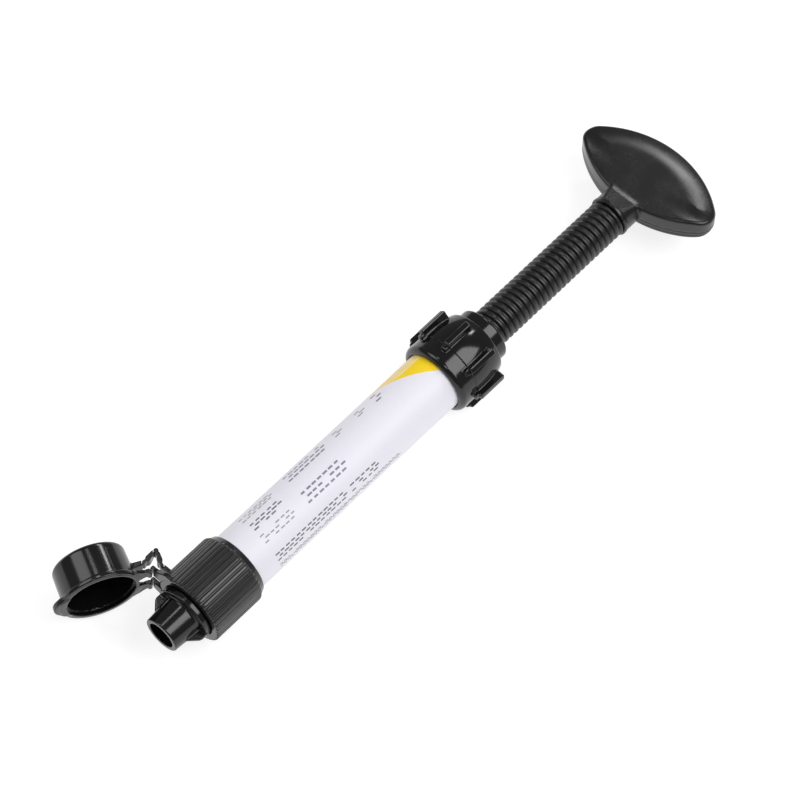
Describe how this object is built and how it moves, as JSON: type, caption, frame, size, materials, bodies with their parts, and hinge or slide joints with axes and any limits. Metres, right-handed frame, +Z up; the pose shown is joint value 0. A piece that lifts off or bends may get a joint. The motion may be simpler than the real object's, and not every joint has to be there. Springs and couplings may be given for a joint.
{
  "type": "dental paste syringe",
  "caption": "Hand-screw dental paste syringe: labelled barrel, spout with a flip lid on a butterfly hinge, ribbed collar, threaded rod and T-handle.",
  "frame": {"origin": "centre of the footprint, level with the lowest grip rib, on the surface that the syringe lies on", "axes": "+X along the barrel from the spout to the T-handle, +Y towards the lid's hinge, +Z up"},
  "size_m": [0.1224, 0.0312, 0.0149],
  "materials": {
    "gloss_black": "glossy moulded polypropylene, lightly scratched",
    "satin_black": "satin moulded polypropylene",
    "label_paper": "semi-gloss white coated paper label with a yellow corner and plain grey bars",
    "natural_plastic": "natural polyethylene",
    "seal_rubber": "black silicone rubber"
  },
  "bodies": {
    "barrel": {"barrel_tube": "satin_black", "label": "label_paper", "spout": "gloss_black", "front_sleeve": "gloss_black", "sleeve_arm_upper": "gloss_black", "sleeve_arm_lower": "gloss_black", "collar": "gloss_black", "drive_nut": "gloss_black"},
    "lid": {"flip_lid": "gloss_black", "lid_arm_upper": "gloss_black", "lid_arm_lower": "gloss_black"},
    "snap_sleeve": {"snap_plate_sleeve": "gloss_black"},
    "snap_lid": {"snap_plate_lid": "gloss_black"},
    "plunger": {"piston": "natural_plastic", "piston_ring": "seal_rubber"},
    "screw": {"screw_rod": "satin_black", "t_handle": "satin_black"}
  },
  "joints": [
    {"name": "lid_hinge", "type": "hinge", "parent": "barrel", "child": "lid", "pos_m": [-0.04777, 0.00477, 0.00747], "axis": [0, 0, 1], "range_deg": [-25, 115]},
    {"name": "snap_fold_sleeve", "type": "hinge", "parent": "barrel", "child": "snap_sleeve", "pos_m": [-0.04527, 0.00477, 0.00747], "axis": [0, 0, 1], "range_deg": [-24.5, 111]},
    {"name": "snap_fold_lid", "type": "hinge", "parent": "lid", "child": "snap_lid", "pos_m": [-0.04672, 0.00704, 0.00747], "axis": [0, 0, 1], "range_deg": [-111, 24.5]},
    {"name": "piston_advance", "type": "slide", "parent": "barrel", "child": "plunger", "axis": [1, 0, 0], "range_m": [-0.0275, 0.0132]},
    {"name": "screw_turn", "type": "hinge", "parent": "plunger", "child": "screw", "pos_m": [0, -0.00273, 0.00747], "axis": [1, 0, 0], "range_deg": [-9005, 4325]}
  ],
  "couplings": [
    {"joint": "snap_fold_sleeve", "follows": "lid_hinge", "ratio": 0.96},
    {"joint": "snap_fold_lid", "follows": "lid_hinge", "ratio": -0.96},
    {"joint": "screw_turn", "follows": "piston_advance", "rad_per_m": 5712}
  ]
}
